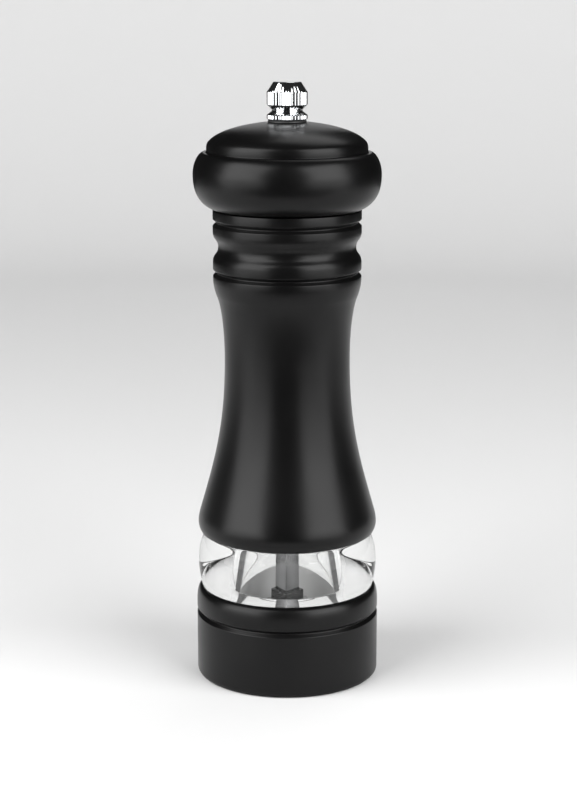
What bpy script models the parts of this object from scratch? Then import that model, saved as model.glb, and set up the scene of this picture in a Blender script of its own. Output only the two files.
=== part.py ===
# Table pepper mill, turned from wood, with a clear acrylic band that shows the pepper.
# The head turns a square shaft, the shaft turns a ceramic grinding cone inside a ceramic ring,
# and the knob on the shaft's threaded end draws the cone up for a finer grind.
# Sizes are in millimetres, and MM turns them into metres. Every turned piece stands on the
# Z axis, which is also the axis of every joint. Z = 0 is the table.

import math

import bmesh
import bpy
from mathutils import Vector

MM = 0.001

# Driving sizes
TOTAL_HEIGHT = 170.0
GAP = 0.3  # between pieces that touch or are pressed together
WIDEST_RADIUS = 26.3  # the head's bulge
BASE_RADIUS = 26.15
WAIST_RADIUS = 17.73
COLLAR_RADIUS = 20.85
BASE_TOP = 26.0
WINDOW_TOP = 41.7
COLLAR_TOP = 134.7
HEAD_TOP = 158.9
KNOB_RADIUS = 5.65
KNOB_FLUTES = 36
CHAMBER_RADIUS = 11.0
MOUTH_RADIUS = 16.1
MOUTH_FLOOR = 124.5
WINDOW_BORE_TOP = 11.0
WINDOW_BORE_FOOT = 13.4
SHAFT_SIDE = 5.0  # square bar
SHAFT_TURN = math.radians(40.0)  # how the bar happens to stand at rest
SHAFT_FOOT = 5.2
SQUARE_TOP = 146.0
THREAD_RADIUS = 2.5
THREAD_TOP = 166.8
BURR_LIFT = 1.6  # two turns of the knob on an 0.8 mm pitch thread
FLANGE_FOOT = 3.6  # underside of the mechanism, inside the foot's recess
FLANGE_SCREW_CIRCLE = 17.0
FLANGE_SCREW_TURN = math.radians(95.0)
SPIGOT_RADIUS = 14.6
SPIGOT_FOOT = 126.4
PLATE_SCREW_OFFSET = 7.4

BIG_COLUMNS = 32
SMALL_COLUMNS = 16
SQUARE_COLUMNS = 24


def material(name, colour, roughness, metallic=0.0, transmission=0.0):
    made = bpy.data.materials.new(name)
    made.use_nodes = True
    shader = made.node_tree.nodes["Principled BSDF"]
    shader.inputs["Base Color"].default_value = (*colour, 1.0)
    shader.inputs["Roughness"].default_value = roughness
    shader.inputs["Metallic"].default_value = metallic
    shader.inputs["Transmission Weight"].default_value = transmission
    made.diffuse_color = (*colour, 1.0)
    return made


# A cubic curve through two ends with two handles, without its first point.
def curve(start, handle_a, handle_b, end, steps):
    points = []
    for step in range(1, steps + 1):
        t = step / steps
        weights = ((1 - t) ** 3, 3 * t * (1 - t) ** 2, 3 * t * t * (1 - t), t**3)
        corners = (start, handle_a, handle_b, end)
        points.append(tuple(sum(w * c[i] for w, c in zip(weights, corners)) for i in (0, 1)))
    return points


# Cross-sections, as the radius at an angle.
def square(side):
    return lambda angle: side / 2 / max(abs(math.cos(angle)), abs(math.sin(angle)))


def toothed(radius, depth, count, shape):
    def at(angle):
        place = (angle / math.tau * count) % 1.0
        return radius - depth * shape[round(place * len(shape)) % len(shape)]

    return at


def ring_point(radius, height, angle, twist=0.0):
    size = radius(angle) if callable(radius) else radius
    turned = angle + twist
    return Vector((size * math.cos(turned), size * math.sin(turned), height)) * MM


# Turns an outline of (radius, height) or (radius, height, twist) points about Z.
# A closed outline makes a ring; an open one starts and ends on the axis.
def turned_mesh(name, outline, columns, sweep=math.tau):
    full = sweep == math.tau
    bm = bmesh.new()
    rows = []
    for column in range(columns if full else columns + 1):
        angle = sweep * column / columns
        rows.append([bm.verts.new(ring_point(p[0], p[1], angle, *p[2:])) for p in outline])
    closed = outline[0][0] != 0
    spans = len(outline) if closed else len(outline) - 1
    for column in range(columns):
        left = rows[column]
        right = rows[(column + 1) % len(rows)]
        for i in range(spans):
            j = (i + 1) % len(outline)
            bm.faces.new((left[i], left[j], right[j], right[i]))
    if not full:
        bm.faces.new(rows[0])
        bm.faces.new(rows[-1])
    bmesh.ops.remove_doubles(bm, verts=bm.verts, dist=1e-7)
    bmesh.ops.dissolve_degenerate(bm, dist=1e-7, edges=bm.edges)
    bmesh.ops.recalc_face_normals(bm, faces=bm.faces)
    mesh = bpy.data.meshes.new(name)
    bm.to_mesh(mesh)
    bm.free()
    return mesh


def add(name, mesh, finish=None, place=(0.0, 0.0, 0.0), turn=0.0, parent=None):
    obj = bpy.data.objects.new(name, mesh)
    bpy.context.scene.collection.objects.link(obj)
    obj.location = Vector(place) * MM
    obj.rotation_euler.z = turn
    obj.parent = parent
    if finish is None:
        obj.hide_render = True
        obj.display_type = "WIRE"
    else:
        mesh.materials.append(finish)
        mesh.shade_smooth()
        mesh.set_sharp_from_angle(angle=math.radians(30))
    return obj


def cut(obj, cutter):
    modifier = obj.modifiers.new("cut_" + cutter.name, "BOOLEAN")
    modifier.operation = "DIFFERENCE"
    modifier.solver = "EXACT"
    modifier.object = cutter


def drill(name, radius, foot, top, place, parent=None):
    outline = [(0, foot), (radius, foot), (radius, top), (0, top)]
    return add(name, turned_mesh(name, outline, SMALL_COLUMNS), place=place, parent=parent)


def on_circle(radius, count, index, start=0.0):
    angle = start + math.tau * index / count
    return radius * math.cos(angle), radius * math.sin(angle), 0.0


# The height of a parent, from which the pieces under it are measured.
def level(parent):
    return parent.matrix_world.translation.z / MM if parent else 0.0


def lowered(outline, parent):
    return [(point[0], point[1] - level(parent), *point[2:]) for point in outline]


# One empty for each body that moves, on the common axis.
def axis(name, height, parent=None):
    empty = bpy.data.objects.new(name, None)
    bpy.context.scene.collection.objects.link(empty)
    empty.empty_display_size = 0.01
    empty.parent = parent
    empty.location.z = (height - level(parent)) * MM
    bpy.context.view_layer.update()
    return empty


# A V groove with slightly eased lips, cut into a wall of the given radius, top to bottom.
def v_groove(radius, middle, half_width, depth):
    ease = 0.25
    return [
        (radius, middle + half_width + ease),
        (radius - ease, middle + half_width - ease),
        (radius - depth, middle),
        (radius - ease, middle - half_width + ease),
        (radius, middle - half_width - ease),
    ]


def base(finish):
    outline = [(14.6, BASE_TOP), (24.6, BASE_TOP)]
    outline += curve((24.6, BASE_TOP), (25.5, 25.95), (26.1, 24.6), (BASE_RADIUS, 22.0), 5)
    outline += v_groove(BASE_RADIUS, 18.8, 0.75, 1.05)
    outline += [(BASE_RADIUS, 1.7)]
    outline += curve((BASE_RADIUS, 1.7), (BASE_RADIUS, 0.5), (25.7, 0.0), (24.4, 0.0), 4)
    outline += [(20.8, 0.0), (20.2, 0.6), (20.2, FLANGE_FOOT + 1.8), (14.6, FLANGE_FOOT + 1.8)]
    obj = add("base", turned_mesh("base", outline, BIG_COLUMNS), finish)
    for i in range(3):
        place = on_circle(FLANGE_SCREW_CIRCLE, 3, i, FLANGE_SCREW_TURN)
        cut(obj, drill(f"base_pilot_{i + 1}", 1.6, FLANGE_FOOT, 13.6, place))
    return obj


def window(finish):
    top = WINDOW_TOP
    outline = [(15.9, 44.9), (15.9, top), (23.7, top)]
    outline += curve((23.7, top), (24.8, 40.2), (25.66, 36.9), (25.66, 33.4), 5)
    outline += curve((25.66, 33.4), (25.66, 30.8), (25.2, 28.4), (24.6, BASE_TOP + GAP), 4)
    outline += [(WINDOW_BORE_FOOT, BASE_TOP + GAP), (WINDOW_BORE_TOP, 44.9)]
    return add("window", turned_mesh("window", outline, BIG_COLUMNS), finish)


def body(finish):
    collar = COLLAR_RADIUS
    outline = [(MOUTH_RADIUS, COLLAR_TOP), (20.4, COLLAR_TOP), (collar, COLLAR_TOP - 0.5)]
    outline += v_groove(collar, 131.2, 0.7, 1.05)
    outline += [(collar, 128.6)]
    outline += curve((collar, 128.6), (collar, 126.4), (19.35, 126.5), (19.35, 124.3), 4)
    outline += curve((19.35, 124.3), (19.35, 122.1), (collar, 122.3), (collar, 120.1), 4)
    outline += v_groove(collar, 117.15, 0.7, 1.05)
    outline += curve((collar, 115.2), (collar, 113.8), (20.25, 111.4), (19.8, 110.4), 4)
    outline += curve((19.8, 110.4), (18.6, 107.6), (WAIST_RADIUS, 100.6), (WAIST_RADIUS, 93.0), 5)
    outline += curve((WAIST_RADIUS, 93.0), (WAIST_RADIUS, 73.1), (20.85, 62.8), (24.88, 48.8), 8)
    outline += curve((24.88, 48.8), (25.64, 46.25), (26.0, 44.3), (24.75, 42.3), 5)
    foot = WINDOW_TOP + GAP
    outline += [(24.3, foot), (16.2, foot), (16.2, 45.2), (CHAMBER_RADIUS, 45.2)]
    outline += [(CHAMBER_RADIUS, MOUTH_FLOOR), (MOUTH_RADIUS, MOUTH_FLOOR)]
    return add("body", turned_mesh("body", outline, BIG_COLUMNS), finish)


def mouth_bush(finish):
    outline = [(14.9, 134.4), (15.8, 134.4), (15.8, 124.8), (14.9, 124.8)]
    return add("mouth_bush", turned_mesh("mouth_bush", outline, BIG_COLUMNS), finish)


def head(finish, parent):
    widest = WIDEST_RADIUS
    outline = [(2.95, HEAD_TOP), (5.9, HEAD_TOP)]
    outline += curve((5.9, HEAD_TOP), (13.0, 158.1), (19.7, 156.4), (22.1, 153.4), 6)
    outline += curve((22.1, 153.4), (22.45, 152.9), (22.5, 152.3), (22.5, 150.75), 3)
    outline += [(23.3, 150.7)]
    outline += curve((23.3, 150.7), (24.8, 150.6), (widest, 147.7), (widest, 144.6), 6)
    outline += curve((widest, 144.6), (widest, 139.3), (24.4, 136.5), (20.9, 135.0), 7)
    outline += [(SPIGOT_RADIUS, 135.0), (SPIGOT_RADIUS, SPIGOT_FOOT + 0.5)]
    outline += [(SPIGOT_RADIUS - 0.5, SPIGOT_FOOT), (4.0, SPIGOT_FOOT)]
    outline += [(4.0, SQUARE_TOP + 3.0), (2.95, SQUARE_TOP + 4.0)]
    mesh = turned_mesh("head", lowered(outline, parent), BIG_COLUMNS)
    obj = add("head", mesh, finish, parent=parent)
    for i in range(2):
        place = on_circle(PLATE_SCREW_OFFSET, 2, i, SHAFT_TURN)
        low = SPIGOT_FOOT - 1.0 - level(parent)
        cut(obj, drill(f"head_pilot_{i + 1}", 1.5, low, low + 11.0, place, parent))
    return obj


def knob(finish, parent):
    def fluted(radius):
        return toothed(radius, 0.22, KNOB_FLUTES, (0.0, 1.0))

    bore_end = THREAD_TOP + BURR_LIFT + 0.5
    outline = [(0, bore_end), (2.75, bore_end), (2.75, 159.5), (5.2, 159.5)]
    outline += [(fluted(KNOB_RADIUS), 159.8), (fluted(KNOB_RADIUS), 160.9)]
    outline += [(4.35, 161.8), (4.3, 162.3), (5.2, 163.4)]
    outline += [(fluted(KNOB_RADIUS), 163.7), (fluted(KNOB_RADIUS), 167.2)]
    outline += [(5.25, 167.7), (3.85, 169.85), (3.6, TOTAL_HEIGHT), (0, TOTAL_HEIGHT)]
    mesh = turned_mesh("knob", lowered(outline, parent), KNOB_FLUTES * 2)
    return add("knob", mesh, finish, parent=parent)


def disc_with_hole(name, hole, radius, foot, top, columns, finish, parent=None, turn=0.0):
    outline = [(hole, top), (radius, top), (radius, foot), (hole, foot)]
    mesh = turned_mesh(name, lowered(outline, parent), columns)
    return add(name, mesh, finish, turn=turn, parent=parent)


def drive_plate(finish, parent):
    hole = square(SHAFT_SIDE + 0.5)
    obj = disc_with_hole(
        "drive_plate", hole, 10.3, 124.6, 126.1, SQUARE_COLUMNS, finish, parent, SHAFT_TURN
    )
    for i in range(2):
        place = on_circle(PLATE_SCREW_OFFSET, 2, i, SHAFT_TURN)
        low = 124.0 - level(parent)
        cut(obj, drill(f"plate_hole_{i + 1}", 1.5, low, low + 3.0, place, parent))
    return obj


# Pan-head screw that points up, with its head's underside as seat.
def screw(name, seat, head_radius, head_height, shank_radius, length, place, finish, parent=None):
    outline = [(0, seat - head_height), (head_radius * 0.7, seat - head_height)]
    outline += [(head_radius, seat - head_height * 0.6), (head_radius, seat)]
    outline += [(shank_radius, seat), (shank_radius, seat + length - 1.5), (0, seat + length)]
    mesh = turned_mesh(name, lowered(outline, parent), SMALL_COLUMNS)
    return add(name, mesh, finish, place=place, parent=parent)


def shaft(finish, parent):
    bar = square(SHAFT_SIDE)
    outline = [(0, 13.0), (1.65, 13.0), (1.65, SHAFT_FOOT), (bar, SHAFT_FOOT), (bar, SQUARE_TOP)]
    outline += [(THREAD_RADIUS, SQUARE_TOP), (THREAD_RADIUS, THREAD_TOP - 0.6)]
    outline += [(THREAD_RADIUS - 0.6, THREAD_TOP), (0, THREAD_TOP)]
    mesh = turned_mesh("shaft", lowered(outline, parent), SQUARE_COLUMNS)
    return add("shaft", mesh, finish, turn=SHAFT_TURN, parent=parent)


# Square block on the shaft that keeps it from dropping: the dark block behind the window.
def shaft_collar(finish, parent):
    hole = square(SHAFT_SIDE + 0.5)
    block = square(6.6)
    eased = square(6.2)
    outline = [(hole, 25.8), (eased, 25.8), (block, 25.6), (block, 22.0), (hole, 22.0)]
    mesh = turned_mesh("shaft_collar", lowered(outline, parent), SQUARE_COLUMNS)
    return add("shaft_collar", mesh, finish, turn=SHAFT_TURN, parent=parent)


def housing(finish):
    foot = FLANGE_FOOT
    outline = [(11.0, foot), (19.6, foot), (19.6, foot + 1.5), (14.2, foot + 1.5), (14.2, 21.0)]
    outline += [(12.4, 21.0), (12.4, foot + 2.0), (11.0, foot + 2.0)]
    mesh = turned_mesh("mechanism_housing", outline, BIG_COLUMNS)
    obj = add("mechanism_housing", mesh, finish)
    for i in range(3):
        place = on_circle(FLANGE_SCREW_CIRCLE, 3, i, FLANGE_SCREW_TURN)
        cut(obj, drill(f"flange_hole_{i + 1}", 1.6, foot - 1.0, foot + 3.0, place))
    return obj


def stator(finish):
    tooth = (0.0, 1.0, 0.7, 0.3)
    teeth = 12

    def inside(radius, depth):
        return toothed(radius, -depth, teeth, tooth)

    lean = math.radians(2.5)  # twist of the teeth for each millimetre of height
    outline = [(12.1, 12.9), (12.1, 5.9)]
    outline += [(inside(9.9, 0.35), 5.9), (inside(8.9, 0.6), 8.9, 3 * lean)]
    outline += [(inside(9.3, 1.0), 10.6, 5 * lean), (inside(10.4, 1.2), 12.9, 7 * lean)]
    return add("stator", turned_mesh("stator", outline, teeth * len(tooth)), finish)


def rotor(finish, parent):
    tooth = (0.0, 0.25, 0.6, 1.0, 0.5)
    teeth = 8
    lean = math.radians(-7.0)

    def outside(radius, depth):
        return toothed(radius, depth, teeth, tooth)

    hole = square(SHAFT_SIDE + 0.5)
    outline = [(hole, 11.6), (5.6, 11.6), (outside(6.3, 0.8), 11.1, 5 * lean)]
    outline += [(outside(7.3, 1.6), 9.6, 4 * lean), (outside(7.9, 1.2), 8.4, 3 * lean)]
    outline += [(outside(8.5, 0.5), 6.6, 2 * lean), (outside(9.2, 0.3), 4.6), (hole, 4.6)]
    mesh = turned_mesh("rotor", lowered(outline, parent), teeth * len(tooth))
    return add("rotor", mesh, finish, turn=SHAFT_TURN, parent=parent)


# Cage over the stator: a bearing hub on three arms, with three openings for the pepper.
def bridge(finish):
    outline = [(5.1, 21.0), (12.1, 21.0), (12.1, 13.2), (10.9, 13.2), (10.9, 19.5), (5.1, 19.5)]
    obj = add("bridge", turned_mesh("bridge", outline, BIG_COLUMNS), finish)
    slot = [(7.4, 14.6), (13.0, 14.6), (13.0, 22.0), (7.4, 22.0)]
    for i in range(3):
        name = f"feed_opening_{i + 1}"
        opening = add(name, turned_mesh(name, slot, 8, math.radians(92)))
        opening.rotation_euler.z = math.radians(44 + 120 * i)
        cut(obj, opening)
    return obj


# Flanged washer that turns in the bridge's hub; the spring pushes up on its flange.
def spring_seat(finish, parent):
    hole = square(SHAFT_SIDE + 0.5)
    outline = [(hole, 21.6), (4.7, 21.6), (4.7, 19.2), (6.3, 19.2), (6.3, 18.0), (hole, 18.0)]
    mesh = turned_mesh("spring_seat", lowered(outline, parent), SQUARE_COLUMNS)
    return add("spring_seat", mesh, finish, turn=SHAFT_TURN, parent=parent)


def spring(finish, parent):
    wire = 0.45
    mean_radius = 4.85
    foot = 12.75 + wire
    top = 17.8 - wire
    turns = 4
    steps = 12
    line = bpy.data.curves.new("spring", "CURVE")
    line.dimensions = "3D"
    line.bevel_depth = wire * MM
    line.bevel_resolution = 1
    line.use_fill_caps = True
    spline = line.splines.new("POLY")
    spline.points.add(turns * steps)
    for i, point in enumerate(spline.points):
        angle = math.tau * i / steps
        # The end turns lie nearly flat and the pitch is taken up between them.
        share = i / (turns * steps)
        rise = share - 0.12 * math.sin(math.tau * share)
        height = foot + (top - foot) * rise - level(parent)
        place = (mean_radius * math.cos(angle), mean_radius * math.sin(angle), height)
        point.co = (*(Vector(place) * MM), 1.0)
    line.materials.append(finish)
    obj = bpy.data.objects.new("spring", line)
    bpy.context.scene.collection.objects.link(obj)
    obj.parent = parent
    return obj


def build():
    for obj in list(bpy.data.objects):
        bpy.data.objects.remove(obj, do_unlink=True)

    lacquer = material("black_lacquer", (0.012, 0.012, 0.012), 0.38)
    clear = material("clear_acrylic", (0.95, 0.95, 0.95), 0.03, transmission=1.0)
    chrome = material("chrome", (0.82, 0.82, 0.83), 0.06, metallic=1.0)
    steel = material("brushed_steel", (0.6, 0.6, 0.61), 0.3, metallic=1.0)
    dark_steel = material("dark_steel", (0.1, 0.1, 0.1), 0.35, metallic=1.0)
    ceramic = material("ceramic", (0.85, 0.84, 0.8), 0.4)
    nylon = material("black_nylon", (0.03, 0.03, 0.03), 0.5)
    grey_nylon = material("grey_nylon", (0.27, 0.27, 0.27), 0.5)

    spindle = axis("spindle_axis", 18.0)
    burr = axis("burr_axis", 4.6, spindle)
    head_axis = axis("head_axis", COLLAR_TOP, spindle)
    knob_axis = axis("knob_axis", 159.5, head_axis)

    base(lacquer)
    window(clear)
    body(lacquer)
    mouth_bush(nylon)
    housing(grey_nylon)
    stator(ceramic)
    bridge(grey_nylon)
    for i in range(3):
        place = on_circle(FLANGE_SCREW_CIRCLE, 3, i, FLANGE_SCREW_TURN)
        seat = FLANGE_FOOT - GAP / 2
        screw(f"housing_screw_{i + 1}", seat, 2.2, 1.2, 1.3, 9.5, place, steel)

    spring_seat(grey_nylon, spindle)
    spring(steel, spindle)

    shaft(steel, burr)
    shaft_collar(dark_steel, burr)
    rotor(ceramic, burr)
    disc_with_hole("spring_washer", 3.75, 6.0, 11.8, 12.4, SQUARE_COLUMNS, steel, burr)
    disc_with_hole("rotor_washer", 1.6, 4.4, 3.8, 4.4, SQUARE_COLUMNS, steel, burr)
    screw("rotor_screw", 3.6, 2.9, 1.3, 1.3, 9.0, (0, 0, 0), steel, burr)

    head(lacquer, head_axis)
    drive_plate(steel, head_axis)
    for i in range(2):
        place = on_circle(PLATE_SCREW_OFFSET, 2, i, SHAFT_TURN)
        screw(f"plate_screw_{i + 1}", 124.45, 2.4, 1.3, 1.2, 10.5, place, steel, head_axis)

    disc_with_hole("knob_washer", 2.95, 5.4, 159.0, 159.35, SQUARE_COLUMNS, nylon, knob_axis)
    knob(chrome, knob_axis)


build()
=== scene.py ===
import math

import bmesh
import bpy
from mathutils import Matrix, Vector


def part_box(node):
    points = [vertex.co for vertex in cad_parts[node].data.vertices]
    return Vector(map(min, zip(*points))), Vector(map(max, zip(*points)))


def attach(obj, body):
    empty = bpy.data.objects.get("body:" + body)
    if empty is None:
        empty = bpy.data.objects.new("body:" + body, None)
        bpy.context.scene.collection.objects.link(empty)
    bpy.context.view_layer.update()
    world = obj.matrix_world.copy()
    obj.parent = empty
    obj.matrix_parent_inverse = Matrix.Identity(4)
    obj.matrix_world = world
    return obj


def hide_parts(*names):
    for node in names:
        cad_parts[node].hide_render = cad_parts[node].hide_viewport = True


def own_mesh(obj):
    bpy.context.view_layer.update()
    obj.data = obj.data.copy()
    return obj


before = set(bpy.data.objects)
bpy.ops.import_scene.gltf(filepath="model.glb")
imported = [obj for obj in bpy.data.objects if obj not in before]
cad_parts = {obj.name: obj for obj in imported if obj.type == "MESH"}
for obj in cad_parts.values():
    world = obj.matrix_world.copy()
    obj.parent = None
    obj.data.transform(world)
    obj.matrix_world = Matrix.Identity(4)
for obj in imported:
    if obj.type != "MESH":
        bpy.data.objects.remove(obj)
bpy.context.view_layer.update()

mm = 0.001  # outlines below are in millimetres
fullTurn = math.tau


def cadPlace(node):
    low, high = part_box(node)
    return {"foot": low.z / mm, "top": high.z / mm, "radius": (high.x - low.x) / 2 / mm}


def bend(start, handleA, handleB, end, steps):
    # cubic curve from start to end, without its first point
    points = []
    for step in range(1, steps + 1):
        t = step / steps
        weights = ((1 - t) ** 3, 3 * t * (1 - t) ** 2, 3 * t * t * (1 - t), t ** 3)
        corners = (start, handleA, handleB, end)
        points.append(tuple(sum(w * c[i] for w, c in zip(weights, corners)) for i in (0, 1)))
    return points


def easeCorners(outline, radius, closed=True, sharperThan=18.0, steps=4):
    # every sharp corner of an outline becomes a small arc
    eased = []
    count = len(outline)
    for i, corner in enumerate(outline):
        if not closed and i in (0, count - 1):
            eased.append(corner)
            continue
        here = Vector(corner)
        before = Vector(outline[i - 1]) - here
        after = Vector(outline[(i + 1) % count]) - here
        turning = 180.0 - math.degrees(before.angle(after))
        if turning < sharperThan:
            eased.append(corner)
            continue
        back = min(radius * math.tan(math.radians(turning / 2)), before.length * 0.45, after.length * 0.45)
        start = here + before.normalized() * back
        end = here + after.normalized() * back
        for step in range(steps + 1):
            t = step / steps
            point = start * (1 - t) ** 2 + here * (2 * t * (1 - t)) + end * t * t
            eased.append((point.x, point.y))
    return eased


def spinOutline(outline, columns, closed=True):
    # an outline of (radius, height) turned about Z; an open one starts and ends on the axis
    shape = bmesh.new()
    verts = [shape.verts.new((r * mm, 0.0, z * mm)) for r, z in outline]
    pairs = list(zip(verts, verts[1:] + verts[:1]))
    if not closed:
        pairs = pairs[:-1]
    edges = [shape.edges.new(pair) for pair in pairs]
    bmesh.ops.spin(shape, geom=verts + edges, cent=(0, 0, 0), axis=(0, 0, 1), dvec=(0, 0, 0),
                   angle=fullTurn, steps=columns, use_merge=True, use_duplicate=False)
    bmesh.ops.remove_doubles(shape, verts=shape.verts, dist=1e-7)
    bmesh.ops.recalc_face_normals(shape, faces=shape.faces)
    return shape


def finishPiece(name, shape, material, body, node, smoothBelow=32.0):
    # the shape becomes a piece that rides on its body and stands in for its CAD node
    mesh = bpy.data.meshes.new(name)
    shape.to_mesh(mesh)
    shape.free()
    piece = bpy.data.objects.new(name, mesh)
    bpy.context.scene.collection.objects.link(piece)
    mesh.materials.append(material)
    mesh.shade_smooth()
    mesh.set_sharp_from_angle(angle=math.radians(smoothBelow))
    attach(piece, body)
    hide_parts(node)
    return piece


def turnedPiece(name, outline, columns, ease, material, body, node):
    shape = spinOutline(easeCorners(outline, ease), columns)
    return finishPiece(name, shape, material, body, node)


def carve(shape, cutters):
    # cuts closed bmesh cutters out of a bmesh and returns what is left
    def looseObject(label, part):
        mesh = bpy.data.meshes.new(label)
        part.to_mesh(mesh)
        part.free()
        made = bpy.data.objects.new(label, mesh)
        bpy.context.scene.collection.objects.link(made)
        return made

    block = looseObject("carvedBlock", shape)
    tools = [looseObject("carvingTool", cutter) for cutter in cutters]
    for tool in tools:
        cut = block.modifiers.new("cut", "BOOLEAN")
        cut.operation = "DIFFERENCE"
        cut.solver = "EXACT"
        cut.object = tool
    graph = bpy.context.evaluated_depsgraph_get()
    left = bmesh.new()
    left.from_mesh(block.evaluated_get(graph).to_mesh())
    for made in [block] + tools:
        mesh = made.data
        bpy.data.objects.remove(made)
        bpy.data.meshes.remove(mesh)
    bmesh.ops.remove_doubles(left, verts=left.verts, dist=1e-7)
    return left


def boxShape(sizeX, sizeY, foot, top, turn=0.0):
    shape = bmesh.new()
    bmesh.ops.create_cube(shape, size=1.0)
    bmesh.ops.scale(shape, vec=(sizeX * mm, sizeY * mm, (top - foot) * mm), verts=shape.verts)
    bmesh.ops.translate(shape, vec=(0.0, 0.0, (foot + top) / 2 * mm), verts=shape.verts)
    bmesh.ops.rotate(shape, cent=(0, 0, 0), matrix=Matrix.Rotation(turn, 3, "Z"), verts=shape.verts)
    return shape


def rodShape(radius, foot, top, columns=32):
    shape = bmesh.new()
    bmesh.ops.create_cone(shape, cap_ends=True, segments=columns, radius1=radius * mm, radius2=radius * mm,
                          depth=(top - foot) * mm)
    bmesh.ops.translate(shape, vec=(0.0, 0.0, (foot + top) / 2 * mm), verts=shape.verts)
    return shape


def joinShapes(shapes):
    joined = bmesh.new()
    for shape in shapes:
        mesh = bpy.data.meshes.new("joining")
        shape.to_mesh(mesh)
        shape.free()
        joined.from_mesh(mesh)
        bpy.data.meshes.remove(mesh)
    return joined


def bevelSharp(shape, width, segments=2):
    sharpAbove = math.radians(40.0)
    edges = [e for e in shape.edges if len(e.link_faces) == 2 and e.calc_face_angle() > sharpAbove]
    bmesh.ops.bevel(shape, geom=edges, offset=width * mm, offset_type="OFFSET", segments=segments,
                    profile=0.5, affect="EDGES", material=-1, clamp_overlap=True)
    bmesh.ops.recalc_face_normals(shape, faces=shape.faces)


def squareHole(shape, side, below):
    # points nearer the axis than below move out to a square hole
    for vert in shape.verts:
        out = Vector((vert.co.x, vert.co.y))
        if out.length > below * mm:
            continue
        angle = math.atan2(out.y, out.x)
        wanted = side / 2 / max(abs(math.cos(angle)), abs(math.sin(angle))) * mm
        vert.co.x *= wanted / out.length
        vert.co.y *= wanted / out.length


def turnShape(shape, angle):
    bmesh.ops.rotate(shape, cent=(0, 0, 0), matrix=Matrix.Rotation(angle, 3, "Z"), verts=shape.verts)


def withRows(outline, spacing):
    # more rows along an outline, for twisting teeth
    rows = [outline[0]]
    for start, end in zip(outline, outline[1:]):
        length = math.hypot(end[0] - start[0], end[1] - start[1])
        count = max(1, math.ceil(length / spacing))
        for step in range(1, count + 1):
            rows.append(tuple(a + (b - a) * step / count for a, b in zip(start, end)))
    return rows


def cutTeeth(shape, heights, depths, teeth, lean, outward, band):
    # leaning saw teeth pressed into the rows whose radius lies in the band; depth follows height
    for vert in shape.verts:
        radius = math.hypot(vert.co.x, vert.co.y)
        height = vert.co.z / mm
        if not band[0] <= radius / mm <= band[1]:
            continue
        depth = depths[0]
        for i in range(len(heights) - 1):
            if heights[i] <= height:
                share = min(1.0, (height - heights[i]) / (heights[i + 1] - heights[i]))
                depth = depths[i] + (depths[i + 1] - depths[i]) * share
        angle = math.atan2(vert.co.y, vert.co.x) - math.radians(lean) * (height - heights[0])
        place = (angle / fullTurn * teeth) % 1.0
        steep = 0.3  # share of a tooth that its steep side takes
        wave = place / steep if place < steep else (1.0 - place) / (1.0 - steep)
        wave = wave * wave * (3.0 - 2.0 * wave)
        stretch = 1.0 + (1 if outward else -1) * depth * wave * mm / radius
        vert.co.x *= stretch
        vert.co.y *= stretch


def newMaterial(name, colour, roughness, metallic=0.0):
    material = bpy.data.materials.new(name)
    material.use_nodes = True
    shader = material.node_tree.nodes["Principled BSDF"]
    shader.inputs["Base Color"].default_value = (*colour, 1.0)
    shader.inputs["Roughness"].default_value = roughness
    shader.inputs["Metallic"].default_value = metallic
    return material, material.node_tree, shader


def objectMapping(tree, scale=(1.0, 1.0, 1.0)):
    coordinates = tree.nodes.new("ShaderNodeTexCoord")
    mapping = tree.nodes.new("ShaderNodeMapping")
    mapping.inputs["Scale"].default_value = scale
    tree.links.new(coordinates.outputs["Object"], mapping.inputs["Vector"])
    return mapping.outputs["Vector"]


def noise(tree, vector, scale, detail=3.0, roughness=0.5):
    texture = tree.nodes.new("ShaderNodeTexNoise")
    texture.inputs["Scale"].default_value = scale
    texture.inputs["Detail"].default_value = detail
    texture.inputs["Roughness"].default_value = roughness
    tree.links.new(vector, texture.inputs["Vector"])
    return texture.outputs["Fac"]


def spread(tree, value, low, high, fromLow=0.3, fromHigh=0.7):
    ranged = tree.nodes.new("ShaderNodeMapRange")
    ranged.inputs["From Min"].default_value = fromLow
    ranged.inputs["From Max"].default_value = fromHigh
    ranged.inputs["To Min"].default_value = low
    ranged.inputs["To Max"].default_value = high
    tree.links.new(value, ranged.inputs["Value"])
    return ranged.outputs["Result"]


def mixColour(tree, value, dark, light):
    mixed = tree.nodes.new("ShaderNodeMix")
    mixed.data_type = "RGBA"
    mixed.inputs["A"].default_value = (*dark, 1.0)
    mixed.inputs["B"].default_value = (*light, 1.0)
    tree.links.new(value, mixed.inputs["Factor"])
    return mixed.outputs["Result"]


def addBump(tree, shader, height, strength, distance, under=None):
    bump = tree.nodes.new("ShaderNodeBump")
    bump.inputs["Strength"].default_value = strength
    bump.inputs["Distance"].default_value = distance
    tree.links.new(height, bump.inputs["Height"])
    if under is not None:
        tree.links.new(under, bump.inputs["Normal"])
    tree.links.new(bump.outputs["Normal"], shader.inputs["Normal"])
    return bump.outputs["Normal"]


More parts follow.
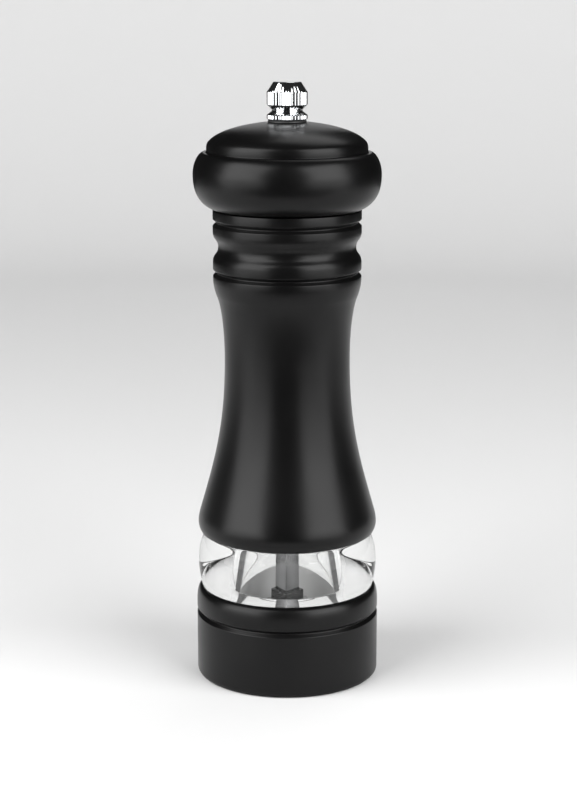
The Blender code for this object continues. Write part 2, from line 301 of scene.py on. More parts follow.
def satinLacquer(name, boreRadius=0.0):
    # black lacquer sprayed on turned beech: soft sheen, faint long grain and fine orange peel
    # the pale grey for the bore and its fading edge are painted light, not a real primer
    look = {"dark": (0.0012, 0.0012, 0.0013), "light": (0.0022, 0.0021, 0.0021), "sheen": (0.28, 0.34),
            "specular": 0.18, "grainBump": (0.05, 0.0001), "peelBump": (0.04, 0.00005),
            "paintedLightGrey": (0.4, 0.4, 0.4), "paintedLightEdge": (0.05, 0.25)}
    material, tree, shader = newMaterial(name, look["dark"], 0.31)
    grain = noise(tree, objectMapping(tree, (900.0, 900.0, 45.0)), 1.0, 4.0, 0.6)
    cloud = noise(tree, objectMapping(tree), 60.0, 2.0)
    peel = noise(tree, objectMapping(tree), 1400.0, 2.0)
    colour = mixColour(tree, cloud, look["dark"], look["light"])
    if boreRadius:
        # painted light: the bore wall is coloured pale grey, picked out by its distance from the axis, so the
        # dark chamber behind the clear band reads as lit
        away = tree.nodes.new("ShaderNodeVectorMath")
        away.operation = "LENGTH"
        tree.links.new(objectMapping(tree, (1.0, 1.0, 0.0)), away.inputs[0])
        edge = [(boreRadius + past) * mm for past in look["paintedLightEdge"]]
        inside = spread(tree, away.outputs["Value"], 1.0, 0.0, *edge)
        paintedLightMix = tree.nodes.new("ShaderNodeMix")
        paintedLightMix.data_type = "RGBA"
        paintedLightMix.inputs["B"].default_value = (*look["paintedLightGrey"], 1.0)
        tree.links.new(inside, paintedLightMix.inputs["Factor"])
        tree.links.new(colour, paintedLightMix.inputs["A"])
        colour = paintedLightMix.outputs["Result"]
    tree.links.new(colour, shader.inputs["Base Color"])
    tree.links.new(spread(tree, cloud, *look["sheen"]), shader.inputs["Roughness"])
    first = addBump(tree, shader, grain, *look["grainBump"])
    addBump(tree, shader, peel, *look["peelBump"], first)
    shader.inputs["Specular IOR Level"].default_value = look["specular"]
    return material


def clearAcrylic():
    # cast acrylic, polished, with the lightest wiping marks
    look = {"colour": (0.985, 0.99, 0.985), "bending": 1.22, "wiped": (0.0, 0.03)}
    material, tree, shader = newMaterial("clearAcrylic", look["colour"], 0.015)
    shader.inputs["IOR"].default_value = look["bending"]  # less than the real 1.49, so the band stays clear
    shader.inputs["Transmission Weight"].default_value = 1.0
    marks = noise(tree, objectMapping(tree, (1.0, 1.0, 6.0)), 160.0, 2.0)
    tree.links.new(spread(tree, marks, *look["wiped"]), shader.inputs["Roughness"])
    return material


def polishedChrome():
    look = {"colour": (0.6, 0.61, 0.62), "rubbed": (0.035, 0.09), "bump": (0.03, 0.00005)}
    material, tree, shader = newMaterial("polishedChrome", look["colour"], 0.06, 1.0)
    rubbed = noise(tree, objectMapping(tree, (1.0, 1.0, 5.0)), 700.0, 3.0)
    tree.links.new(spread(tree, rubbed, *look["rubbed"]), shader.inputs["Roughness"])
    addBump(tree, shader, noise(tree, objectMapping(tree), 300.0, 2.0), *look["bump"])
    return material


def grainedFinish(name, look):
    # one fine noise drives the colour, the roughness and the height of a finish together
    material, tree, shader = newMaterial(name, look["colour"], look["roughness"], look["metal"])
    grain = noise(tree, objectMapping(tree, look["stretch"]), look["scale"], look["detail"], look["fuzz"])
    tree.links.new(spread(tree, grain, *look["sheen"]), shader.inputs["Roughness"])
    tree.links.new(mixColour(tree, grain, *look["shades"]), shader.inputs["Base Color"])
    addBump(tree, shader, grain, *look["bump"])
    return material


def drawnSteel():
    # long fine lines along the bar
    look = {"colour": (0.75, 0.75, 0.76), "roughness": 0.16, "metal": 1.0, "stretch": (6000.0, 6000.0, 60.0),
            "scale": 1.0, "detail": 3.0, "fuzz": 0.6, "sheen": (0.1, 0.22),
            "shades": ((0.68, 0.68, 0.69), (0.82, 0.82, 0.83)), "bump": (0.05, 0.00003)}
    return grainedFinish("drawnSteel", look)


def zincPlate():
    # pressed plates, washers and screws
    look = {"colour": (0.6, 0.61, 0.63), "roughness": 0.3, "metal": 1.0, "stretch": (1.0, 1.0, 1.0),
            "scale": 900.0, "detail": 3.0, "fuzz": 0.5, "sheen": (0.22, 0.42),
            "shades": ((0.5, 0.51, 0.53), (0.68, 0.69, 0.7)), "bump": (0.08, 0.00005)}
    return grainedFinish("zincPlate", look)


def burnishedSteel():
    look = {"colour": (0.12, 0.12, 0.12), "roughness": 0.22, "metal": 1.0, "stretch": (1.0, 1.0, 8.0),
            "scale": 900.0, "detail": 3.0, "fuzz": 0.5, "sheen": (0.14, 0.32),
            "shades": ((0.07, 0.07, 0.07), (0.2, 0.2, 0.2)), "bump": (0.1, 0.00005)}
    return grainedFinish("burnishedSteel", look)


def firedCeramic():
    look = {"colour": (0.82, 0.8, 0.75), "roughness": 0.4, "metal": 0.0, "stretch": (1.0, 1.0, 1.0),
            "scale": 2200.0, "detail": 4.0, "fuzz": 0.7, "sheen": (0.32, 0.5),
            "shades": ((0.7, 0.68, 0.62), (0.88, 0.87, 0.83)), "bump": (0.15, 0.00005)}
    return grainedFinish("firedCeramic", look)


def mouldedNylon(name, dark, light):
    look = {"colour": dark, "roughness": 0.45, "metal": 0.0, "stretch": (1.0, 1.0, 1.0),
            "scale": 2600.0, "detail": 3.0, "fuzz": 0.5, "sheen": (0.4, 0.55),
            "shades": (dark, light), "bump": (0.15, 0.00004)}
    return grainedFinish(name, look)


def addCamera():
    setup = {"distance": 0.5486, "height": 0.2007, "pitch": 12.386, "aside": 0.00036, "lens": 88.69}
    data = bpy.data.cameras.new("tableCamera")
    data.lens = setup["lens"]
    data.sensor_width = 36.0
    data.clip_start = 0.01
    camera = bpy.data.objects.new("tableCamera", data)
    camera.location = (setup["aside"], -setup["distance"], setup["height"])
    camera.rotation_euler = (math.radians(90.0 - setup["pitch"]), 0.0, 0.0)
    bpy.context.scene.collection.objects.link(camera)
    bpy.context.scene.camera = camera


def addSheet(name, line, halfWidth, colour, roughness):
    # a sheet that runs along a line of (y, height) in metres, as wide as asked
    shape = bmesh.new()
    verts = [shape.verts.new((-halfWidth, y, z)) for y, z in line]
    edges = [shape.edges.new(pair) for pair in zip(verts, verts[1:])]
    grown = bmesh.ops.extrude_edge_only(shape, edges=edges)
    moved = [g for g in grown["geom"] if isinstance(g, bmesh.types.BMVert)]
    bmesh.ops.translate(shape, vec=(2 * halfWidth, 0.0, 0.0), verts=moved)
    return stageObject(name, shape, colour, roughness)


def stageObject(name, shape, colour, roughness):
    mesh = bpy.data.meshes.new(name)
    shape.to_mesh(mesh)
    shape.free()
    mesh.shade_smooth()
    sheet = bpy.data.objects.new(name, mesh)
    bpy.context.scene.collection.objects.link(sheet)
    material, tree, shader = newMaterial(name, colour, roughness)
    shader.inputs["Specular IOR Level"].default_value = 0.1
    fibre = noise(tree, objectMapping(tree), 400.0, 3.0)
    tree.links.new(spread(tree, fibre, roughness - 0.05, roughness + 0.05), shader.inputs["Roughness"])
    mesh.materials.append(material)
    return sheet


def sweepUp(start, bendAt, bendRadius, top, lift=0.0):
    # flat, then a quarter round, then upright
    steps = 16
    line = [(start, lift), (bendAt, lift)]
    for step in range(1, steps + 1):
        angle = math.pi / 2 * step / steps
        line.append((bendAt + bendRadius * math.sin(angle), lift + bendRadius * (1.0 - math.cos(angle))))
    line.append((bendAt + bendRadius, top))
    return line


def onlyReflected(sheet):
    sheet.visible_camera = False
    sheet.visible_diffuse = False
    sheet.visible_shadow = False
    sheet.visible_transmission = False


def addFloor():
    # round pale bowl for the eye; reflections see a small white table and a paper roll in a dark room
    floor = {"bendAt": 0.75, "bendRadius": 0.4, "top": 1.1, "colour": (0.6, 0.6, 0.6), "roughness": 0.9,
             "tableColour": (0.72, 0.72, 0.72), "tableFront": -0.22, "tableHalfWidth": 0.58,
             "tableLift": 0.0005, "rollHalfWidth": 0.42, "rollTop": 0.95, "rollLift": 0.001}
    shape = bmesh.new()
    outline = sweepUp(0.0, floor["bendAt"], floor["bendRadius"], floor["top"])
    verts = [shape.verts.new((r, 0.0, z)) for r, z in outline]
    edges = [shape.edges.new(pair) for pair in zip(verts, verts[1:])]
    bmesh.ops.spin(shape, geom=verts + edges, cent=(0, 0, 0), axis=(0, 0, 1), dvec=(0, 0, 0),
                   angle=fullTurn, steps=96, use_merge=True, use_duplicate=False)
    bmesh.ops.remove_doubles(shape, verts=shape.verts, dist=1e-6)
    bowl = stageObject("paleFloor", shape, floor["colour"], floor["roughness"])
    bowl.visible_glossy = False
    tableLine = [(floor["tableFront"], floor["tableLift"]), (floor["bendAt"], floor["tableLift"])]
    table = addSheet("whiteTable", tableLine, floor["tableHalfWidth"], floor["tableColour"],
                     floor["roughness"])
    onlyReflected(table)
    rollStart = floor["bendAt"] - 0.1
    rollRadius = floor["bendRadius"] - 0.01
    rollLine = sweepUp(rollStart, floor["bendAt"], rollRadius, floor["rollTop"], floor["rollLift"])
    roll = addSheet("paperRoll", rollLine, floor["rollHalfWidth"], floor["colour"], floor["roughness"])
    onlyReflected(roll)


def addSideCards():
    # a grey card on either side, seen only through the clear band, for its grey edges
    card = {"away": 0.1, "front": -0.3, "back": 0.1, "foot": 0.002, "top": 0.2, "colour": (0.12, 0.12, 0.12),
            "roughness": 0.9}
    for side in (-1.0, 1.0):
        shape = bmesh.new()
        corners = [(card["front"], card["foot"]), (card["back"], card["foot"]),
                   (card["back"], card["top"]), (card["front"], card["top"])]
        shape.faces.new([shape.verts.new((side * card["away"], y, z)) for y, z in corners])
        sheet = stageObject("leftCard" if side < 0 else "rightCard", shape, card["colour"], card["roughness"])
        sheet.visible_camera = False
        sheet.visible_diffuse = False
        sheet.visible_glossy = False
        sheet.visible_shadow = False


def addSoftbox(name, at, aim, width, height, power):
    data = bpy.data.lights.new(name, "AREA")
    data.shape = "RECTANGLE"
    data.size = width
    data.size_y = height
    data.energy = power
    lamp = bpy.data.objects.new(name, data)
    lamp.location = at
    lamp.rotation_mode = "QUATERNION"
    lamp.rotation_quaternion = (Vector(aim) - Vector(at)).to_track_quat("-Z", "Y")
    lamp.visible_camera = False
    lamp.visible_transmission = False
    bpy.context.scene.collection.objects.link(lamp)


def around(azimuth, distance, height):
    # azimuth 0 stands behind the camera, positive to its right
    turn = math.radians(azimuth)
    return (math.sin(turn) * distance, -math.cos(turn) * distance, height)


def addLights():
    # azimuth in degrees, distance and height, width and height of the box, watts
    softboxes = {"leftSoftbox": (-58.0, 0.75, 0.56, 0.82, 0.76, 11.7),
                 "leftLowSoftbox": (-58.0, 0.7, 0.12, 0.78, 0.24, 2.3),
                 "rightSoftbox": (51.0, 0.75, 0.52, 0.76, 0.66, 9.6),
                 "rightLowSoftbox": (51.0, 0.7, 0.12, 0.74, 0.24, 2.1),
                 "highSoftbox": (155.0, 0.5, 0.95, 0.55, 0.55, 1.8)}
    wall = {"at": (0.0, 0.8, 0.55), "aim": (0.0, 1.15, 0.1), "size": (1.4, 0.3), "power": 0.9}
    room = (0.03, 0.03, 0.03)
    middle = (0.0, 0.0, 0.1)
    world = bpy.data.worlds.new("dimStudio")
    bpy.context.scene.world = world
    world.use_nodes = True
    world.node_tree.nodes["Background"].inputs["Color"].default_value = (*room, 1.0)
    for name, (azimuth, distance, height, wide, tall, power) in softboxes.items():
        addSoftbox(name, around(azimuth, distance, height), middle, wide, tall, power)
    addSoftbox("wallSoftbox", wall["at"], wall["aim"], *wall["size"], wall["power"])
    bpy.context.scene.view_settings.view_transform = "Standard"


addCamera()
addFloor()
addSideCards()
addLights()
print("stage ready")


bigColumns = 192
midColumns = 96
smallColumns = 48
barTurn = math.radians(40.0)  # how the square bar stands at rest
baseBore = 14.6
lacquer = satinLacquer("satinLacquer")
# the base's lacquer, with painted light: pale grey inside the bore
boredLacquer = satinLacquer("boredLacquer", baseBore)
acrylic = clearAcrylic()
chrome = polishedChrome()
steel = drawnSteel()
plate = zincPlate()
darkSteel = burnishedSteel()
ceramic = firedCeramic()
nylon = mouldedNylon("blackNylon", (0.012, 0.012, 0.012), (0.03, 0.03, 0.03))
greyNylon = mouldedNylon("greyNylon", (0.24, 0.24, 0.24), (0.3, 0.3, 0.3))


def flatRing(cad, hole):
    wide = cad["radius"]
    return [(hole, cad["top"]), (wide, cad["top"]), (wide, cad["foot"]), (hole, cad["foot"])]


def vGroove(radius, middle, halfWidth, depth):
    return [(radius, middle + halfWidth), (radius - depth, middle), (radius, middle - halfWidth)]


def makeHead():
    cad = cadPlace("head")
    head = {"hole": 2.95, "flat": 5.9, "rim": 22.5, "rimFoot": 150.75, "ledge": 23.3, "bulgeMiddle": 144.6,
            "spigot": 14.6, "shoulder": 135.0, "barHole": 4.0, "barHoleTop": 149.0}
    wide = cad["radius"]
    top = cad["top"]
    rim = head["rim"]
    rimFoot = head["rimFoot"]
    ledge = (head["ledge"], rimFoot - 0.05)
    widest = (wide, head["bulgeMiddle"])
    outline = [(head["hole"], top), (head["flat"], top)]
    outline += bend((head["flat"], top), (13.0, top - 0.8), (19.7, top - 2.5), (22.1, top - 5.5), 22)
    outline += bend((22.1, top - 5.5), (22.45, top - 6.0), (rim, top - 6.6), (rim, rimFoot + 0.5), 6)
    outline += [(rim - 0.05, rimFoot), (rim + 0.3, rimFoot - 0.12), ledge]
    outline += bend(ledge, (24.8, 150.6), (wide, 147.7), widest, 24)
    outline += bend(widest, (wide, 139.3), (24.4, 136.5), (20.9, head["shoulder"]), 28)
    outline += [(head["spigot"], head["shoulder"]), (head["spigot"], cad["foot"])]
    outline += [(head["barHole"], cad["foot"])]
    outline += [(head["barHole"], head["barHoleTop"]), (head["hole"], head["barHoleTop"] + 1.0)]
    turnedPiece("turnedHead", outline, bigColumns, 0.25, lacquer, "turning_head", "head")


def makeBody():
    cad = cadPlace("body")
    body = {"collar": 20.85, "mouth": 16.1, "mouthFloor": 124.5, "waist": 17.73, "bore": 11.0,
            "grooves": (131.2, 117.15), "grooveHalf": 0.95, "grooveDepth": 1.05,
            "seat": 16.2, "seatTop": 45.2}
    collar = body["collar"]
    waist = body["waist"]
    outline = [(body["mouth"], cad["top"]), (collar, cad["top"])]
    outline += vGroove(collar, body["grooves"][0], body["grooveHalf"], body["grooveDepth"])
    outline += [(collar, 128.6)]
    outline += bend((collar, 128.6), (collar, 126.4), (19.35, 126.5), (19.35, 124.3), 14)
    outline += bend((19.35, 124.3), (19.35, 122.1), (collar, 122.3), (collar, 120.1), 14)
    outline += vGroove(collar, body["grooves"][1], body["grooveHalf"], body["grooveDepth"])
    outline += bend((collar, 115.2), (collar, 113.8), (20.25, 111.4), (19.8, 110.4), 12)
    outline += bend((19.8, 110.4), (18.6, 107.6), (waist, 100.6), (waist, 93.0), 18)
    outline += bend((waist, 93.0), (waist, 73.1), (20.85, 62.8), (24.88, 48.8), 30)
    outline += bend((24.88, 48.8), (25.64, 46.25), (26.0, 44.3), (24.75, 42.3), 20)
    outline += [(24.3, cad["foot"]), (body["seat"], cad["foot"]), (body["seat"], body["seatTop"])]
    outline += [(body["bore"], body["seatTop"]), (body["bore"], body["mouthFloor"])]
    outline += [(body["mouth"], body["mouthFloor"])]
    turnedPiece("turnedBody", outline, bigColumns, 0.3, lacquer, "mill_body", "body")


def makeBase():
    cad = cadPlace("base")
    base = {"bore": baseBore, "recess": 20.2, "recessTop": 5.4, "groove": 18.8, "grooveHalf": 0.95,
            "grooveDepth": 1.05, "seam": 24.6}
    wide = cad["radius"]
    top = cad["top"]
    seam = base["seam"]
    outline = [(base["bore"], top), (seam, top)]
    outline += bend((seam, top), (25.5, top - 0.05), (26.1, top - 1.4), (wide, 22.0), 14)
    outline += vGroove(wide, base["groove"], base["grooveHalf"], base["grooveDepth"])
    outline += [(wide, 1.7)]
    outline += bend((wide, 1.7), (wide, 0.5), (25.7, 0.0), (24.4, 0.0), 10)
    outline += [(20.8, 0.0), (base["recess"], 0.6), (base["recess"], base["recessTop"])]
    outline += [(base["bore"], base["recessTop"])]
    turnedPiece("turnedBase", outline, bigColumns, 0.3, boredLacquer, "mill_body", "base")


def makeWindow():
    cad = cadPlace("window")
    window = {"spigot": 15.9, "boreTop": 11.0, "boreFoot": 13.4, "face": 41.7, "shoulder": 23.7,
              "bulge": 25.66, "bulgeMiddle": 33.4, "seam": 24.6}
    wide = window["bulge"]
    bulge = (wide, window["bulgeMiddle"])
    shoulder = (window["shoulder"], window["face"])
    outline = [(window["spigot"], cad["top"]), (window["spigot"], window["face"]), shoulder]
    outline += bend(shoulder, (24.8, 40.2), (wide, 36.9), bulge, 18)
    outline += bend(bulge, (wide, 30.8), (25.2, 28.4), (window["seam"], cad["foot"]), 16)
    outline += [(window["boreFoot"], cad["foot"]), (window["boreTop"], cad["top"])]
    ring = turnedPiece("clearWindow", outline, bigColumns, 0.25, acrylic, "mill_body", "window")
    ring.visible_shadow = False  # lets the lamps reach the grinding set


makeHead()
makeBody()
makeBase()
makeWindow()
print("turned pieces ready")


def makeKnob():
    cad = cadPlace("knob")
    knob = {"flutes": 36, "perFlute": 8, "depth": 0.24, "flutedFrom": 5.35, "bore": 2.75, "boreTop": 168.9,
            "waist": 4.25}
    wide = cad["radius"]
    foot = cad["foot"]
    top = cad["top"]
    outline = [(0.0, knob["boreTop"]), (knob["bore"], knob["boreTop"]), (knob["bore"], foot), (5.2, foot)]
    outline += [(wide, foot + 0.35), (wide, foot + 1.35), (5.15, foot + 1.75)]
    outline += [(knob["waist"], foot + 2.45), (knob["waist"], foot + 2.75), (5.2, foot + 3.75)]
    outline += [(wide, foot + 4.25), (wide, foot + 7.65), (5.3, foot + 8.1)]
    outline += [(3.85, top - 0.1), (3.6, top), (0.0, top)]
    outline = easeCorners(outline, 0.12, closed=False)
    shape = spinOutline(outline, knob["flutes"] * knob["perFlute"], closed=False)
    for vert in shape.verts:
        out = Vector((vert.co.x, vert.co.y))
        if out.length < knob["flutedFrom"] * mm:
            continue  # cone, waist and bore stay round
        angle = math.atan2(out.y, out.x)
        wave = 0.5 - 0.5 * math.cos(angle * knob["flutes"])
        shrink = 1.0 - knob["depth"] * mm * wave ** 0.7 / out.length
        vert.co.x *= shrink
        vert.co.y *= shrink
    finishPiece("flutedKnob", shape, chrome, "adjusting_knob", "knob", 40.0)


def makeKnobWasher():
    cad = cadPlace("knob_washer")
    outline = flatRing(cad, 2.95)
    turnedPiece("knobWasher", outline, midColumns, 0.1, nylon, "knob_seat", "knob_washer")


makeKnob()
makeKnobWasher()
print("knob ready")


def helix(inner, crest, foot, turns, pitch, stepsPerTurn):
    # one ridge wound up the bar, its ends sunk into the core
    shape = bmesh.new()
    ridge = [(inner, -0.36), (crest, -0.06), (crest, 0.06), (inner, 0.36)]
    verts = [shape.verts.new((r * mm, 0.0, (foot + z) * mm)) for r, z in ridge]
    edges = [shape.edges.new(pair) for pair in zip(verts, verts[1:] + verts[:1])]
    steps = turns * stepsPerTurn
    made = bmesh.ops.spin(shape, geom=verts + edges, cent=(0, 0, 0), axis=(0, 0, 1),
                          dvec=(0, 0, pitch / stepsPerTurn * mm), angle=fullTurn * turns, steps=steps,
                          use_merge=False, use_duplicate=False)
    lastVerts = [g for g in made["geom_last"] if isinstance(g, bmesh.types.BMVert)]
    bmesh.ops.contextual_create(shape, geom=verts)
    bmesh.ops.contextual_create(shape, geom=lastVerts)
    low = min(v.co.z for v in shape.verts) / mm
    high = max(v.co.z for v in shape.verts) / mm
    for vert in shape.verts:
        height = vert.co.z / mm
        sunk = min(1.0, height - low, high - height)  # fades over the first and last millimetre
        radius = math.hypot(vert.co.x, vert.co.y) / mm
        wanted = inner + (radius - inner) * max(0.0, sunk)
        vert.co.x *= wanted / radius
        vert.co.y *= wanted / radius
    bmesh.ops.recalc_face_normals(shape, faces=shape.faces)
    return shape


def makeShaft():
    cad = cadPlace("shaft")
    shaft = {"side": 5.0, "squareTop": 146.0, "edge": 0.3, "hole": 1.65, "holeTop": 13.0,
             "root": 2.05, "crest": 2.5, "pitch": 0.8, "turns": 24}
    bar = boxShape(shaft["side"], shaft["side"], cad["foot"], shaft["squareTop"])
    bevelSharp(bar, shaft["edge"], segments=3)
    bar = carve(bar, [rodShape(shaft["hole"], cad["foot"] - 1.0, shaft["holeTop"])])
    turnShape(bar, barTurn)
    outline = [(0.0, shaft["squareTop"] - 1.0), (shaft["root"], shaft["squareTop"] - 1.0)]
    outline += [(shaft["root"], cad["top"] - 0.3), (shaft["root"] - 0.35, cad["top"]), (0.0, cad["top"])]
    core = spinOutline(outline, smallColumns, closed=False)
    ridgeFoot = shaft["squareTop"] + 0.6
    ridge = helix(shaft["root"] - 0.04, shaft["crest"], ridgeFoot, shaft["turns"], shaft["pitch"], 32)
    finishPiece("squareBar", joinShapes([bar, core, ridge]), steel, "drive_shaft", "shaft")


def makeShaftCollar():
    cad = cadPlace("shaft_collar")
    collar = {"side": 6.6, "hole": 5.5, "edge": 0.2}
    block = boxShape(collar["side"], collar["side"], cad["foot"], cad["top"])
    bevelSharp(block, collar["edge"], segments=3)
    block = carve(block, [boxShape(collar["hole"], collar["hole"], cad["foot"] - 1.0, cad["top"] + 1.0)])
    turnShape(block, barTurn)
    finishPiece("barCollar", block, darkSteel, "drive_shaft", "shaft_collar")


def makeDrivePlate():
    cad = cadPlace("drive_plate")
    disc = {"hole": 5.5, "edge": 0.15}
    shape = rodShape(cad["radius"], cad["foot"], cad["top"], columns=midColumns)
    shape = carve(shape, [boxShape(disc["hole"], disc["hole"], cad["foot"] - 1.0, cad["top"] + 1.0, barTurn)])
    bevelSharp(shape, disc["edge"])
    finishPiece("drivePlate", shape, plate, "turning_head", "drive_plate")


def makeScrew(name, node, body, screw, place):
    # points up; a domed head with a crossed recess hangs under the seat
    seat = screw["seat"]
    foot = seat - screw["headHeight"]
    wide = screw["headRadius"]
    shank = screw["shank"]
    outline = [(0.0, foot)]
    brim = (wide, seat - screw["headHeight"] * 0.3)
    outline += bend((0.0, foot), (wide * 0.6, foot), (wide, foot + 0.15), brim, 8)
    outline += [(wide, seat), (shank - 0.15, seat)]
    height = seat + 0.6
    while height < seat + screw["length"] - 2.0:
        # one ridge of the thread
        outline += [(shank - 0.15, height), (shank + 0.12, height + 0.35), (shank - 0.15, height + 0.7)]
        height += 0.8
    outline += [(shank - 0.2, height), (0.0, seat + screw["length"])]
    shape = spinOutline(outline, 32, closed=False)
    slots = [boxShape(wide * 1.15, wide * 0.3, foot - 1.0, foot + screw["headHeight"] * 0.6, turn)
             for turn in (0.4, 0.4 + math.pi / 2)]
    shape = carve(shape, slots)
    bmesh.ops.translate(shape, vec=(place[0] * mm, place[1] * mm, 0.0), verts=shape.verts)
    finishPiece(name, shape, plate, body, node, 28.0)


def onCircle(radius, count, index, start):
    angle = start + fullTurn * index / count
    return (radius * math.cos(angle), radius * math.sin(angle))


def makeScrews():
    flangeScrew = {"seat": 3.45, "headRadius": 2.2, "headHeight": 1.2, "shank": 1.3, "length": 9.5}
    plateScrew = {"seat": 124.45, "headRadius": 2.4, "headHeight": 1.3, "shank": 1.2, "length": 10.5}
    rotorScrew = {"seat": 3.6, "headRadius": 2.9, "headHeight": 1.3, "shank": 1.3, "length": 9.0}
    for i in range(3):
        place = onCircle(17.0, 3, i, math.radians(95.0))
        makeScrew(f"flangeScrew{i + 1}", f"housing_screw_{i + 1}", "mill_body", flangeScrew, place)
    for i in range(2):
        place = onCircle(7.4, 2, i, barTurn)
        makeScrew(f"plateScrew{i + 1}", f"plate_screw_{i + 1}", "turning_head", plateScrew, place)
    makeScrew("rotorScrew", "rotor_screw", "drive_shaft", rotorScrew, (0.0, 0.0))


makeShaft()
makeShaftCollar()
makeDrivePlate()
makeScrews()
print("bar and screws ready")


def makeMouthBush():
    cad = cadPlace("mouth_bush")
    outline = flatRing(cad, 14.9)
    turnedPiece("mouthBush", outline, midColumns, 0.2, nylon, "mill_body", "mouth_bush")


def makeHousing():
    cad = cadPlace("mechanism_housing")
    housing = {"lip": 11.0, "flange": 1.5, "cup": 14.2, "inside": 12.4, "lipTop": 2.0}
    foot = cad["foot"]
    outline = [(housing["lip"], foot), (cad["radius"], foot), (cad["radius"], foot + housing["flange"])]
    outline += [(housing["cup"], foot + housing["flange"]), (housing["cup"], cad["top"])]
    outline += [(housing["inside"], cad["top"]), (housing["inside"], foot + housing["lipTop"])]
    outline += [(housing["lip"], foot + housing["lipTop"])]
    turnedPiece("mechanismHousing", outline, midColumns, 0.25, greyNylon, "mill_body", "mechanism_housing")


def makeStator():
    cad = cadPlace("stator")
    stator = {"teeth": 12, "lean": 2.5, "heights": (5.9, 8.9, 10.6, 12.9), "radii": (9.9, 8.9, 9.3, 10.4),
              "depths": (0.35, 0.6, 1.0, 1.2)}
    inner = withRows(list(zip(stator["radii"], stator["heights"])), 0.5)
    outline = [(cad["radius"], cad["top"]), (cad["radius"], cad["foot"])] + inner
    shape = spinOutline(outline, stator["teeth"] * 14)
    cutTeeth(shape, stator["heights"], stator["depths"], stator["teeth"], stator["lean"], True, (0.0, 11.0))
    finishPiece("burrRing", shape, ceramic, "mill_body", "stator", 50.0)


def makeRotor():
    rotor = {"teeth": 8, "lean": -7.0, "hole": 5.5, "heights": (4.6, 6.6, 8.4, 9.6, 11.1),
             "radii": (9.2, 8.5, 7.9, 7.3, 6.3), "depths": (0.3, 0.5, 1.2, 1.6, 0.8), "top": 11.6}
    outer = withRows(list(zip(rotor["radii"], rotor["heights"])), 0.5)
    outline = [(3.0, rotor["heights"][0])] + outer + [(5.6, rotor["top"]), (3.0, rotor["top"])]
    shape = spinOutline(outline, rotor["teeth"] * 16)
    squareHole(shape, rotor["hole"], 3.2)
    cutTeeth(shape, rotor["heights"], rotor["depths"], rotor["teeth"], rotor["lean"], False, (6.0, 12.0))
    turnShape(shape, barTurn)
    finishPiece("burrCone", shape, ceramic, "drive_shaft", "rotor", 50.0)


def makeBridge():
    cad = cadPlace("bridge")
    bridge = {"hub": 5.1, "inside": 10.9, "under": 19.5,
              "slotInner": 7.4, "slotOuter": 13.0, "slotFoot": 14.6,
              "slotTop": 22.0, "slotSweep": 92.0, "slotStart": 44.0, "edge": 0.2}
    outline = [(bridge["hub"], cad["top"]), (cad["radius"], cad["top"]), (cad["radius"], cad["foot"])]
    outline += [(bridge["inside"], cad["foot"]), (bridge["inside"], bridge["under"])]
    outline += [(bridge["hub"], bridge["under"])]
    shape = spinOutline(outline, midColumns)
    cutters = []
    for i in range(3):
        cutter = bmesh.new()
        corners = [(bridge["slotInner"], bridge["slotFoot"]), (bridge["slotOuter"], bridge["slotFoot"]),
                   (bridge["slotOuter"], bridge["slotTop"]), (bridge["slotInner"], bridge["slotTop"])]
        verts = [cutter.verts.new((r * mm, 0.0, z * mm)) for r, z in corners]
        face = cutter.faces.new(verts)
        bmesh.ops.rotate(cutter, cent=(0, 0, 0), verts=verts,
                         matrix=Matrix.Rotation(math.radians(bridge["slotStart"] + 120.0 * i), 3, "Z"))
        bmesh.ops.spin(cutter, geom=[face], cent=(0, 0, 0), axis=(0, 0, 1), dvec=(0, 0, 0),
                       angle=math.radians(bridge["slotSweep"]), steps=23, use_merge=False, use_duplicate=True)
        bmesh.ops.remove_doubles(cutter, verts=cutter.verts, dist=1e-7)
        bmesh.ops.recalc_face_normals(cutter, faces=cutter.faces)
        cutters.append(cutter)
    shape = carve(shape, cutters)
    finishPiece("bearingBridge", shape, greyNylon, "mill_body", "bridge")


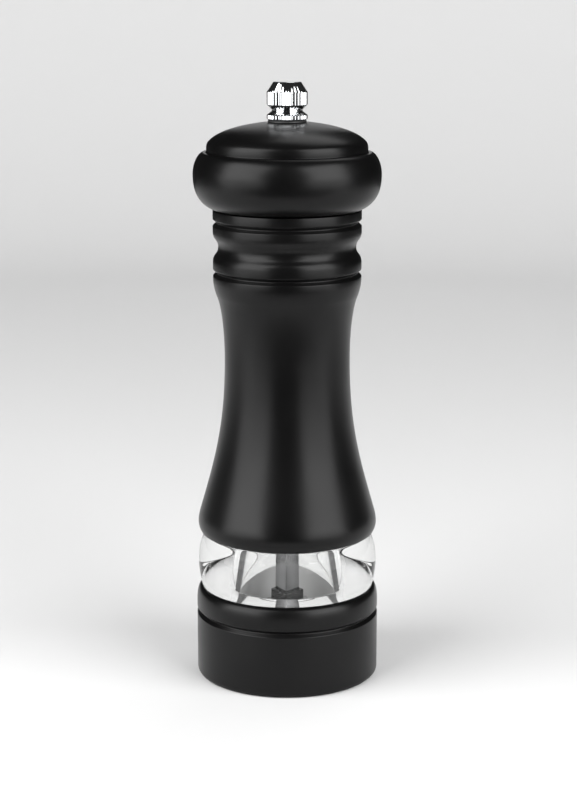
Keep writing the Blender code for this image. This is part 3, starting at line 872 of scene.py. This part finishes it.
def makeSpringSeat():
    cad = cadPlace("spring_seat")
    seat = {"hole": 5.5, "journal": 4.7, "flangeTop": 19.2}
    outline = [(3.0, cad["top"]), (seat["journal"], cad["top"]), (seat["journal"], seat["flangeTop"])]
    outline += [(cad["radius"], seat["flangeTop"]), (cad["radius"], cad["foot"]), (3.0, cad["foot"])]
    shape = spinOutline(easeCorners(outline, 0.15), midColumns)
    squareHole(shape, seat["hole"], 3.3)
    turnShape(shape, barTurn)
    finishPiece("springSeat", shape, greyNylon, "spindle", "spring_seat")


def makeSpring():
    cad = cadPlace("spring")
    spring = {"wire": 0.45, "mean": 4.85, "endTurns": 0.75, "turns": 2.0, "stepsPerTurn": 32, "endRise": 0.5,
              "fixedEnd": 17.8, "liftLeft": 0.683}
    foot = cad["foot"] + spring["wire"]
    middleRise = cad["top"] - spring["wire"] - foot - 2 * spring["endRise"]
    shape = bmesh.new()
    ring = bmesh.ops.create_circle(shape, segments=12, radius=spring["wire"] * mm)["verts"]
    bmesh.ops.rotate(shape, cent=(0, 0, 0), matrix=Matrix.Rotation(math.pi / 2, 3, "X"), verts=ring)
    bmesh.ops.translate(shape, vec=(spring["mean"] * mm, 0.0, foot * mm), verts=ring)
    geom = list(shape.verts) + list(shape.edges)
    for turns, rise in ((spring["endTurns"], spring["endRise"]), (spring["turns"], middleRise),
                        (spring["endTurns"], spring["endRise"])):
        steps = round(turns * spring["stepsPerTurn"])
        made = bmesh.ops.spin(shape, geom=geom, cent=(0, 0, 0), axis=(0, 0, 1), angle=fullTurn * turns,
                              dvec=(0, 0, rise / steps * mm), steps=steps, use_merge=False,
                              use_duplicate=False)
        geom = made["geom_last"]
    bmesh.ops.contextual_create(shape, geom=ring)
    bmesh.ops.contextual_create(shape, geom=[g for g in geom if isinstance(g, bmesh.types.BMVert)])
    bmesh.ops.recalc_face_normals(shape, faces=shape.faces)
    piece = finishPiece("burrSpring", shape, steel, "spindle", "spring", 40.0)
    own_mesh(piece)


def makeWashers():
    for name, node, hole in (("springWasher", "spring_washer", 3.75), ("rotorWasher", "rotor_washer", 1.6)):
        cad = cadPlace(node)
        outline = flatRing(cad, hole)
        turnedPiece(name, outline, midColumns, 0.12, plate, "drive_shaft", node)


makeMouthBush()
makeHousing()
makeStator()
makeRotor()
makeBridge()
makeSpringSeat()
makeSpring()
makeWashers()
print("grinding set ready")
